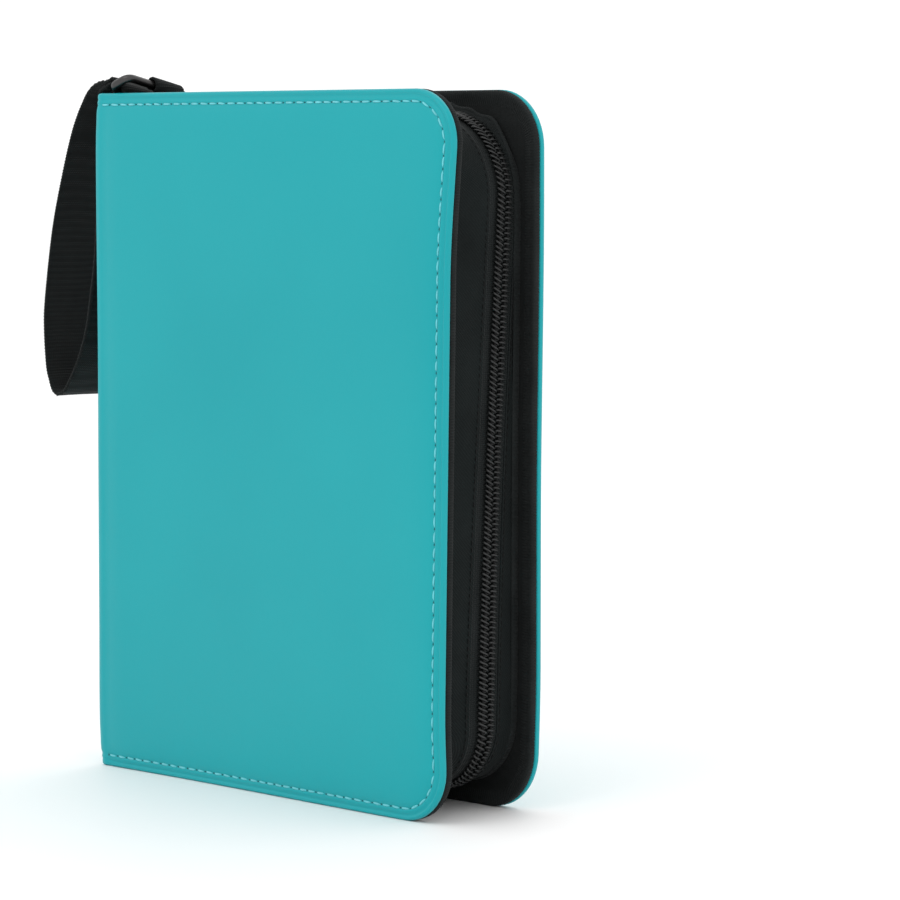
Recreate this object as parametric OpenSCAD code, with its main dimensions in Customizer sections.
// Zippered trading card binder, standing upright and closed.
// +X runs from the spine to the fore-edge, +Y from the front cover to the back cover, +Z is up.
// The origin is on the standing surface, under the middle of the whole object's box. The wrist strap is
// part of that box.

/* [Covers] */
// Height of the covers
cover_h = 250; // [230:1:270]
// Depth of the closed binder, from the spine's outer face to the fore-edge
cover_w = 188; // [185:1:200]
// Thickness of the closed binder over both covers
thick = 44; // [43:1:52]
// Radius of the covers' corners at the fore-edge
corner_r = 20; // [17:1:24]

/* [Gusset and zipper] */
// How far the gusset's wall stands in from the covers' edges
gusset_inset = 9; // [8.5:0.5:10]
// Radius of the gusset's upper corner at the fore-edge
gusset_r_high = 28; // [14:1:28]
// Radius of the gusset's lower corner at the fore-edge
gusset_r_low = 22; // [12:1:28]
// Place of the zipper's middle across the thickness, along the top
zip_top = 9.4; // [6:0.2:9.4]
// Place of the zipper's middle across the thickness, along the bottom
zip_bottom = 1; // [0:0.5:4]
// Place of the slider's middle, measured from the spine's outer face
slider_x = 40; // [38:1:42]

/* [Rings and pages] */
// Radius of the rings, to the middle of the wire
ring_r = 13.6; // [13.4:0.1:13.8]
// Diameter of the ring wire
ring_wire = 2.8; // [2.4:0.1:3]
// Distance between two rings
ring_pitch = 70; // [60:1:75]
// Width of a page
leaf_w = 149; // [146:1:150]
// Height of a page
leaf_h = 205; // [200:1:206]

/* [Wrist strap] */
// Width of the webbing
strap_w = 24; // [20:1:24]
// Thickness of the webbing
strap_t = 1.4; // [1:0.1:1.6]
// How far the strap's ring leans across the binder, in degrees
ring_lean = 13; // [8:1:14]

/* [Hidden] */
$fn = 64;

teal = "#35b0b5";
black_cloth = "#1c1d1f";
ribbed_black = "#26272a";
board_grey = "#8b8d8a";
foam_white = "#e4e2da";
steel = "#c9ccd0";
gunmetal = "#4a4b4f";
film_clear = [0.86, 0.9, 0.92, 0.5];

// Layers of a cover, from its outer face in
wall = 4;
skin_t = 0.9;
rim_t = 1.6;
padding_t = 1;
lining_t = 0.6;
binding_t = 0.5;
half = thick / 2;
cover_x0 = wall + 0.3;
spine_half = half - wall - 0.3;
layer_gap = 0.05;

// Gusset, tapes and coils
gusset_x0 = 12;
gusset_t = 1.1;
gusset_root = half - wall - 0.05;
binding_w = 3.4;
tape_w = 6.2;
tape_t = 0.8;
tape_gap = 0.3;
coil_gap = 0.35;
coil_w = 3;
coil_t = 1.8;
coil_top = cover_h - gusset_inset + coil_t;
stop_l = 3;
back_coil_x0 = 31;
front_coil_x0 = 49;

// Slider and pull
slider_l = 10;
slider_w = 10;
slider_plate_t = 1.2;
slider_slack = 0.4;
post_w = 0.4;
pull_w = 9;
pull_t = 2;
bail_z = coil_top + slider_slack + slider_plate_t + 3.2;
bail_r = 0.9;

// Ring mechanism: an arched plate over two blades
ring_cx = 18;
ring_open_gap = 0.2;
plate_half_w = 11;
plate_rise = 4;
plate_t = 0.8;
plate_r = (pow(plate_half_w, 2) + pow(plate_rise, 2)) / (2 * plate_rise);
plate_l = 222;
ring_zs = [for (i = [-1:1]) cover_h / 2 + i * ring_pitch];
rivet_zs = [cover_h / 2 - 103, cover_h / 2 + 103];
ring_end_angle = 155;

// Pages: the holes of each page lie on the rings' circle
leaf_t = 1.6;
leaf_pitch = 1.9;
leaf_first = 0.5;
leaf_count = 5;
leaf_corner_r = 5;
hole_l = 10;
hole_h = 5.2;
hole_margin = 7.5;
leaf_z0 = (cover_h - leaf_h) / 2;
pocket_x = 16.7;
pocket_w = 64.6;
pocket_h = 90;
pocket_t = 0.8;
card_w = 63;
card_h = 88;
card_t = 0.5;
pocket_pitch_x = 66.3;
pocket_pitch_z = 97;

// Wrist strap: its ring lies over the spine's top end
strap_y = -5.8;
bar_r = 1.5;
ring_reach = 4.4;
ring_tilt = 23;
left_bar = [8.6, cover_h - 0.9];
right_bar = left_bar + 2 * ring_reach * [cos(ring_tilt), sin(ring_tilt) * cos(ring_lean)];
right_bar_y = strap_y + 2 * ring_reach * sin(ring_tilt) * sin(ring_lean);
bar_half = strap_w / 2 + 1.1 + bar_r;
wrap_r = bar_r + 0.35 + strap_t / 2;
anchor_w = 14;
anchor_shift = 4;

// The strap's middle line seen from the front cover, [x, z], from the top of the ring's bar
// over the spine, down its outer side, round the bottom and back up along the spine
strap_hang = [
    [7.2, 2.5], [5.5, 3.9], [3.5, 4.2], [1, 4.2], [-1.7, 4], [-5.4, 2.7], [-8.9, 0], [-12, -4.2],
    [-14.7, -8.4], [-18.3, -15.6], [-23, -28.5], [-29.7, -51], [-34.3, -77], [-35, -89], [-34, -102],
    [-32.4, -107.3], [-30.7, -111], [-28.2, -112.6], [-25.4, -111.9], [-22.7, -109.8], [-16, -100],
    [-10.9, -88], [-7.9, -75], [-4.9, -58], [-3, -28], [-2.7, -9], [-1.9, -0.2], [0, 1.7], [2, 2.2],
    [3.9, 2.5], [5.3, 1.9], [6, 0.6]
];
strap_points = concat(
    [for (a = [-180:30:90]) left_bar + wrap_r * [cos(a), sin(a)]],
    [for (p = strap_hang) [p[0], cover_h + p[1]]]
);
// The anchor's middle line from the top of the gusset, [x, z], up to the ring's other bar
anchor_rise = [[5, -8.1], [8, -8.1], [11.5, -6.2], [14.3, -3.6]];
anchor_points = concat(
    [for (p = anchor_rise) [p[0], cover_h + p[1]]],
    [for (a = [-60:30:210]) right_bar + wrap_r * [cos(a), sin(a)]]
);

// A smooth curve through points: each stretch between two of them is cut into steps
function spline_at(a, b, c, d, t) = 0.5 * (2 * b + (c - a) * t + (2 * a - 5 * b + 4 * c - d) * t * t
    + (3 * b - a - 3 * c + d) * t * t * t);
function closed_spline(p, steps) = let (n = len(p)) [for (i = [0:n - 1], s = [0:steps - 1])
    spline_at(p[(i + n - 1) % n], p[i], p[(i + 1) % n], p[(i + 2) % n], s / steps)];
function open_spline(p, steps) = let (n = len(p)) concat(
    [for (i = [0:n - 2], s = [0:steps - 1])
        spline_at(p[max(i - 1, 0)], p[i], p[i + 1], p[min(i + 2, n - 1)], s / steps)], [p[n - 1]]);
function smooth(lo, hi, v) = let (t = min(max((v - lo) / (hi - lo), 0), 1)) t * t * (3 - 2 * t);
function lean_at(x) = ring_lean * smooth(1, left_bar[0], x);
function unit(v) = v / norm(v);

strap_line = closed_spline(strap_points, 3);
anchor_line = open_spline(anchor_points, 3);
strap_reach = min([for (p = strap_line) p[0]]) - strap_t / 2;
shift_x = -(cover_w + strap_reach) / 2;

// Places a piece drawn from the spine's outer face into the object's frame
module placed() {
    translate([shift_x, 0, 0]) children();
}

// Extrudes a shape drawn in [x, z] from y0 to y1
module slab(y0, y1) {
    translate([0, y1, 0]) rotate([90, 0, 0]) linear_extrude(y1 - y0) children();
}

// side -1 is the front cover's half and side 1 the back cover's: y0 and y1 count outward from the middle
module side_slab(side, y0, y1) {
    slab(side < 0 ? -y1 : y0, side < 0 ? -y0 : y1) children();
}

// A cover's outline, in from its edges by inset, with round corners at the fore-edge only
module cover_outline(x0, inset) {
    r = corner_r - inset;
    straight_w = cover_w - inset - r - x0;
    translate([x0, inset]) square([straight_w, cover_h - 2 * inset]);
    translate([x0 + straight_w - 1, inset + r]) square([r + 1, cover_h - 2 * inset - 2 * r]);
    for (z = [inset + r, cover_h - inset - r]) translate([cover_w - inset - r, z]) circle(r);
}

// A strip of cloth t thick round the top, fore-edge and bottom, whose outer face is inset from the edges.
// Across the thickness it runs from top[0] to top[1] along the top, and from bottom[0] to bottom[1] below.
module wrap_band(inset, t, top, bottom, x_top, x_bottom) {
    r_high = gusset_r_high - (inset - gusset_inset);
    r_low = gusset_r_low - (inset - gusset_inset);
    corner_high = cover_w - inset - r_high;
    corner_low = cover_w - inset - r_low;
    low = inset + r_low;
    high = cover_h - inset - r_high;
    translate([x_top, top[0], cover_h - inset - t]) cube([corner_high - x_top, top[1] - top[0], t]);
    translate([x_bottom, bottom[0], inset]) cube([corner_low - x_bottom, bottom[1] - bottom[0], t]);
    band_corner(corner_high, high, r_high, t, top, 0);
    band_corner(corner_low, low, r_low, t, bottom, 1);
    translate([cover_w - inset - t, 0, 0]) rotate([90, 0, 90]) linear_extrude(t)
        polygon([[top[0], high], [bottom[0], low], [bottom[1], low], [top[1], high]]);
}

// One rounded corner of a wrap_band: the upper one, or its mirror image below
module band_corner(x, z, r, t, across, below) {
    translate([x, across[0], z]) mirror([0, 0, below]) rotate([90, 0, 0]) mirror([0, 0, 1])
        rotate_extrude(angle = 90) translate([r - t, 0]) square([t, across[1] - across[0]]);
}

// A ribbon of webbing along points [x, z], leaning where the strap's ring leans. Its width runs
// from across[0] to across[1] on either side of the level y.
function ribbon_ring(p, n, y, across, t, lean) =
    [for (c = [[0, 1], [1, 1], [1, -1], [0, -1]]) let (w = across[c[0]], h = c[1] * t / 2)
        [
            p[0] + n[0] * h,
            y + w * cos(lean) + n[1] * h * sin(lean),
            p[1] - w * sin(lean) + n[1] * h * cos(lean)
        ]];
function normal_at(p, i, closed) = let (n = len(p),
    a = closed ? p[(i + n - 1) % n] : p[max(i - 1, 0)],
    b = closed ? p[(i + 1) % n] : p[min(i + 1, n - 1)],
    d = unit(b - a)) [d[1], -d[0]];
module ribbon(line, y, across, t, leans, closed) {
    n = len(line);
    points = [for (i = [0:n - 1])
        each ribbon_ring(line[i], normal_at(line, i, closed), y, across, t, leans[i])];
    sides = [for (i = [0:n - (closed ? 1 : 2)], k = [0:3])
        let (j = (i + 1) % n, m = (k + 1) % 4) [4 * i + k, 4 * i + m, 4 * j + m, 4 * j + k]];
    ends = closed ? [] : [[3, 2, 1, 0], [4 * n - 4, 4 * n - 3, 4 * n - 2, 4 * n - 1]];
    polyhedron(points, concat(sides, ends), convexity = 6);
}

// ---- Spine ----

module spine_skin() {
    color(teal) placed() difference() {
        translate([0, -spine_half, 0]) cube([wall - lining_t - layer_gap, 2 * spine_half, cover_h]);
        translate([skin_t, -spine_half + rim_t, rim_t])
            cube([wall, 2 * (spine_half - rim_t), cover_h - 2 * rim_t]);
    }
}

module spine_board() {
    play = 0.1;
    color(board_grey) placed() difference() {
        translate([skin_t + play, -spine_half + rim_t + play, rim_t + play])
            cube([
                wall - lining_t - skin_t - 2 * play,
                2 * (spine_half - rim_t - play),
                cover_h - 2 * (rim_t + play)
            ]);
        rivet_holes(1.9);
    }
}

module spine_lining() {
    color(black_cloth) placed() difference() {
        translate([wall - lining_t, -spine_half, 1.2]) cube([lining_t, 2 * spine_half, cover_h - 2.4]);
        rivet_holes(1.9);
    }
}

module rivet_holes(r) {
    for (z = rivet_zs)
        translate([1.2, 0, z]) rotate([0, 90, 0]) cylinder(r = r, h = 10);
}

// The quarter bend of skin over a hinge line
module hinge_skin(side) {
    color(teal) placed() translate([wall, side * (half - wall), 0]) rotate([0, 0, side < 0 ? 180 : 90])
        rotate_extrude(angle = 90) translate([wall - skin_t, 0]) square([skin_t, cover_h]);
}

// The cloth that closes the spine's end between the two gussets
module end_gusset(z) {
    color(black_cloth) placed() translate([wall, -spine_half + 1, z])
        cube([gusset_x0 - 0.5 - wall, 2 * (spine_half - 1), gusset_t]);
}

module strap_anchor() {
    leans = [for (p = anchor_line) ring_lean * smooth(8, right_bar[0] - 3, p[0])];
    across = [anchor_shift - anchor_w / 2, anchor_shift + anchor_w / 2];
    color(black_cloth) placed() ribbon(anchor_line, right_bar_y, across, 1.2, leans, false);
}

// ---- Ring mechanism ----

module plate_arch(r) {
    intersection() {
        translate([wall + plate_rise - plate_r, 0]) circle(r, $fn = 128);
        translate([wall + layer_gap, -plate_half_w]) square([plate_rise + 1, 2 * plate_half_w]);
    }
}

module ring_plate() {
    slot_in = 4.6;
    slot_h = ring_wire + 1.8;
    color(steel) placed() difference() {
        translate([0, 0, (cover_h - plate_l) / 2]) linear_extrude(plate_l) difference() {
            plate_arch(plate_r);
            plate_arch(plate_r - plate_t);
        }
        for (z = ring_zs, side = [-1, 1])
            translate([wall - 1, side < 0 ? -plate_half_w - 1 : slot_in, z - slot_h / 2])
                cube([plate_rise + 2, plate_half_w + 1 - slot_in, slot_h]);
        rivet_holes(1.9);
    }
}

module ring_rivets() {
    color(steel) placed() for (z = rivet_zs) translate([0, 0, z]) rotate([0, 90, 0]) {
        translate([0, 0, 1.3]) cylinder(r = 1.8, h = wall + plate_rise - 1.3 + 0.1);
        translate([0, 0, wall + plate_rise + 0.05]) cylinder(r = 2.4, h = 0.7);
    }
}

module half_rings(side) {
    tip = ring_open_gap / 2 / ring_r * 180 / PI;
    color(steel) placed() for (z = ring_zs) translate([ring_cx, 0, z])
        rotate([0, 0, side < 0 ? -ring_end_angle : tip])
            rotate_extrude(angle = ring_end_angle - tip)
                translate([ring_r, 0]) circle(d = ring_wire, $fn = 32);
}

module blade(side) {
    blade_in = 0.4;
    blade_out = 7.4;
    color(steel) placed() translate([wall + 0.4, side < 0 ? -blade_out : blade_in, cover_h / 2 - 95])
        cube([0.8, blade_out - blade_in, 190]);
}

// ---- Covers ----

module cover_skin(side) {
    inner = half - wall + lining_t + layer_gap;
    color(teal) placed() difference() {
        side_slab(side, inner, half) cover_outline(cover_x0, 0);
        side_slab(side, inner - 1, half - skin_t) cover_outline(cover_x0 + rim_t, rim_t);
    }
}

module cover_padding(side) {
    play = 0.1;
    color(foam_white) placed() side_slab(side, half - skin_t - padding_t, half - skin_t - play)
        cover_outline(cover_x0 + rim_t + play, rim_t + play);
}

module cover_board(side) {
    play = 0.1;
    from = half - wall + lining_t + play;
    to = half - skin_t - padding_t - play;
    color(board_grey) placed() side_slab(side, from, to)
        cover_outline(cover_x0 + rim_t + play, rim_t + play);
}

module cover_lining(side) {
    color(black_cloth) placed() side_slab(side, half - wall, half - wall + lining_t)
        cover_outline(cover_x0, 1.2);
}

// Ribbed tape on the lining, along the cover's edge
module edge_binding(side) {
    color(ribbed_black) placed() side_slab(side, half - wall - binding_t, half - wall - 0.02)
        difference() {
            cover_outline(gusset_x0, 1.6);
            cover_outline(gusset_x0 - 2, 6);
        }
}

// Across the thickness, the stretch between two distances from the zipper's middle, or to the cover
function zip_span(side, at, from, to) = side < 0 ? [at - to, at - from] : [at + from, at + to];
function gusset_span(side, at) = side < 0
    ? [-gusset_root, at - tape_gap - tape_w - 0.05] : [at + tape_gap + tape_w + 0.05, gusset_root];
function root_span(side) = side < 0
    ? [-gusset_root, binding_w - gusset_root] : [gusset_root - binding_w, gusset_root];

module gusset(side) {
    color(black_cloth) placed() wrap_band(gusset_inset, gusset_t,
        gusset_span(side, zip_top), gusset_span(side, zip_bottom), gusset_x0, gusset_x0);
}

module gusset_binding(side) {
    color(ribbed_black) placed() wrap_band(gusset_inset - 0.75, 0.7,
        root_span(side), root_span(side), gusset_x0 + 1, gusset_x0 + 1);
}

module zip_tape(side) {
    color(black_cloth) placed() wrap_band(gusset_inset, tape_t,
        zip_span(side, zip_top, tape_gap, tape_gap + tape_w),
        zip_span(side, zip_bottom, tape_gap, tape_gap + tape_w), gusset_x0 + 2, gusset_x0 + 2);
}

module zip_coil(side, x_top) {
    color(ribbed_black) placed() wrap_band(gusset_inset - coil_t - 0.02, coil_t,
        zip_span(side, zip_top, coil_gap, coil_gap + coil_w),
        zip_span(side, zip_bottom, coil_gap, coil_gap + coil_w), x_top, back_coil_x0);
}

// The stop that ends a coil: at the bottom on both sides, and at the top on the back
module zip_stop(side) {
    low = zip_span(side, zip_bottom, coil_gap, coil_gap + coil_w);
    high = zip_span(side, zip_top, coil_gap, coil_gap + coil_w);
    x = back_coil_x0 - 0.1 - stop_l;
    color(gunmetal) placed() {
        translate([x, low[0], gusset_inset - coil_t - 0.02]) cube([stop_l, coil_w, coil_t]);
        if (side > 0) translate([x, high[0], coil_top - coil_t + 0.02]) cube([stop_l, coil_w, coil_t]);
    }
}

// ---- Slider and pull ----

module zip_slider() {
    tape_top = cover_h - gusset_inset;
    upper_z = coil_top + slider_slack;
    lower_z = tape_top - tape_t - slider_slack - slider_plate_t;
    flange_w = 1.3;
    color(gunmetal) placed() translate([slider_x, zip_top, 0]) {
        translate([-slider_l / 2, -slider_w / 2, upper_z]) cube([slider_l, slider_w, slider_plate_t]);
        translate([-slider_l / 2, -slider_w / 2, lower_z]) cube([slider_l, slider_w, slider_plate_t]);
        for (y = [-slider_w / 2, slider_w / 2 - flange_w])
            translate([-slider_l / 2, y, tape_top + slider_slack])
                cube([slider_l, flange_w, upper_z - tape_top - slider_slack + 0.1]);
        translate([slider_l / 2 - 3, -post_w / 2, lower_z + 0.1]) cube([2.6, post_w, upper_z - lower_z]);
        bail(upper_z + slider_plate_t - 0.1);
    }
}

// The slider's bail: two lugs and the pin between them
module bail(z0) {
    lug_x = -3;
    for (y = [-3.2, 2]) translate([lug_x - 1.6, y, z0]) cube([3.2, 1.2, bail_z + 1.2 - z0]);
    translate([lug_x, -3, bail_z]) rotate([-90, 0, 0]) cylinder(r = bail_r, h = 6, $fn = 32);
}

// The pull leans back over the spine's end: an eye on the bail's pin and a flat tab with a hang hole
module zip_pull() {
    eye_r = 2;
    eye_w = 3.6;
    tilt = 8;
    color(black_cloth) placed() translate([slider_x - 3, zip_top, bail_z]) difference() {
        union() {
            rotate([-90, 0, 0]) translate([0, 0, -eye_w / 2]) cylinder(r = eye_r, h = eye_w, $fn = 48);
            rotate([0, tilt, 0]) translate([0, 0, -pull_t / 2]) linear_extrude(pull_t)
                pull_outline(eye_w - 0.4);
        }
        rotate([-90, 0, 0]) translate([0, 0, -eye_w]) cylinder(r = bail_r + 0.1, h = 2 * eye_w, $fn = 32);
    }
}

module pull_outline(neck_w) {
    tab_l = 14;
    end_r = pull_w / 2;
    difference() {
        union() {
            translate([end_r - tab_l, 0]) circle(r = end_r);
            translate([end_r - tab_l, -end_r + 0.05]) square([tab_l - end_r - 4, 2 * end_r - 0.1]);
            translate([-4.5, -neck_w / 2]) square([3.2, neck_w]);
        }
        translate([3.8 - tab_l, 0]) circle(r = 1.4, $fn = 32);
    }
}

// ---- Wrist strap ----

module strap_ring() {
    bend_r = 2.6;
    middle_x = (left_bar[0] + right_bar[0]) / 2;
    middle_y = (strap_y + right_bar_y) / 2;
    middle_z = (left_bar[1] + right_bar[1]) / 2;
    color(gunmetal) placed() translate([middle_x, middle_y, middle_z])
        rotate([-ring_lean, 0, 0]) rotate([0, -ring_tilt, 0]) {
        for (x = [-ring_reach, ring_reach])
            translate([x, -bar_half + bend_r, 0]) rotate([-90, 0, 0])
                cylinder(r = bar_r, h = 2 * (bar_half - bend_r), $fn = 32);
        for (y = [-bar_half, bar_half])
            translate([-ring_reach + bend_r, y, 0]) rotate([0, 90, 0])
                cylinder(r = bar_r, h = 2 * (ring_reach - bend_r), $fn = 32);
        for (sx = [0, 1], sy = [0, 1]) mirror([sx, 0, 0]) mirror([0, sy, 0])
            translate([ring_reach - bend_r, bar_half - bend_r, 0])
                rotate_extrude(angle = 90) translate([bend_r, 0]) circle(r = bar_r, $fn = 32);
    }
}

module wrist_strap() {
    leans = [for (p = strap_line) lean_at(p[0])];
    across = [-strap_w / 2, strap_w / 2];
    color(black_cloth) placed() ribbon(strap_line, strap_y, across, strap_t, leans, true);
}

// ---- Pages ----

function leaf_y(i) = leaf_first + (i - 1) * leaf_pitch;
function hole_x(i) = ring_cx + sqrt(pow(ring_r, 2) - pow(leaf_y(i) + leaf_t / 2, 2));

// A clear page: three slots on the rings' side, and four pockets that open upward
module leaf(side, i) {
    x0 = hole_x(i) - hole_margin;
    y0 = leaf_y(i);
    y_mid = y0 + leaf_t / 2;
    color(film_clear) placed() difference() {
        side_slab(side, y0, y0 + leaf_t) translate([x0, leaf_z0]) leaf_outline();
        side_slab(side, y0 - 1, y0 + leaf_t + 1) for (z = ring_zs) slot_outline(hole_x(i), z);
        side_slab(side, y_mid - pocket_t / 2, y_mid + pocket_t / 2)
            pocket_grid(x0 + pocket_x, leaf_z0 + 9) square([pocket_w, pocket_h]);
        side_slab(side, y0 - 1, y_mid)
            pocket_grid(x0 + pocket_x, leaf_z0 + 9 + pocket_h - 1.5) square([pocket_w, 1.5]);
    }
}

// A leaf's outline, with round corners at the fore-edge
module leaf_outline() {
    square([leaf_w - leaf_corner_r, leaf_h]);
    translate([leaf_w - leaf_corner_r - 1, leaf_corner_r])
        square([leaf_corner_r + 1, leaf_h - 2 * leaf_corner_r]);
    for (z = [leaf_corner_r, leaf_h - leaf_corner_r])
        translate([leaf_w - leaf_corner_r, z]) circle(leaf_corner_r);
}

// Two columns by two rows, from the lower corner at [x, z]
module pocket_grid(x, z) {
    for (col = [0, 1], row = [0, 1])
        translate([x + col * pocket_pitch_x, z + row * pocket_pitch_z]) children();
}

module slot_outline(x, z) {
    straight = hole_l - hole_h;
    translate([x - straight / 2, z - hole_h / 2]) square([straight, hole_h]);
    for (s = [-1, 1]) translate([x + s * straight / 2, z]) circle(d = hole_h, $fn = 32);
}

// The cards of one side, one solid in each pocket
module cards(side) {
    color([0.9, 0.8, 0.5]) placed() for (i = [1:leaf_count]) {
        x0 = hole_x(i) - hole_margin + pocket_x + (pocket_w - card_w) / 2;
        y_mid = leaf_y(i) + leaf_t / 2;
        side_slab(side, y_mid - card_t / 2, y_mid + card_t / 2)
            pocket_grid(x0, leaf_z0 + 9.2) square([card_w, card_h]);
    }
}

spine_skin();
spine_board();
spine_lining();
hinge_skin(-1);  // front_hinge_skin
hinge_skin(1);  // back_hinge_skin
end_gusset(cover_h - gusset_inset - gusset_t);  // top_end_gusset
end_gusset(gusset_inset);  // bottom_end_gusset
strap_anchor();
ring_plate();
ring_rivets();
cover_skin(-1);  // front_skin
cover_padding(-1);  // front_padding
cover_board(-1);  // front_board
cover_lining(-1);  // front_lining
edge_binding(-1);  // front_edge_binding
gusset(-1);  // front_gusset
gusset_binding(-1);  // front_gusset_binding
zip_tape(-1);  // front_zip_tape
zip_coil(-1, front_coil_x0);  // front_zip_coil
zip_stop(-1);  // front_zip_stop
cover_skin(1);  // back_skin
cover_padding(1);  // back_padding
cover_board(1);  // back_board
cover_lining(1);  // back_lining
edge_binding(1);  // back_edge_binding
gusset(1);  // back_gusset
gusset_binding(1);  // back_gusset_binding
zip_tape(1);  // back_zip_tape
zip_coil(1, back_coil_x0);  // back_zip_coil
zip_stop(1);  // back_zip_stop
zip_slider();
zip_pull();
strap_ring();
wrist_strap();
half_rings(-1);  // front_rings
blade(-1);  // front_blade
half_rings(1);  // back_rings
blade(1);  // back_blade
leaf(-1, 1);  // front_leaf_1
leaf(-1, 2);  // front_leaf_2
leaf(-1, 3);  // front_leaf_3
leaf(-1, 4);  // front_leaf_4
leaf(-1, 5);  // front_leaf_5
cards(-1);  // front_cards
leaf(1, 1);  // back_leaf_1
leaf(1, 2);  // back_leaf_2
leaf(1, 3);  // back_leaf_3
leaf(1, 4);  // back_leaf_4
leaf(1, 5);  // back_leaf_5
cards(1);  // back_cards
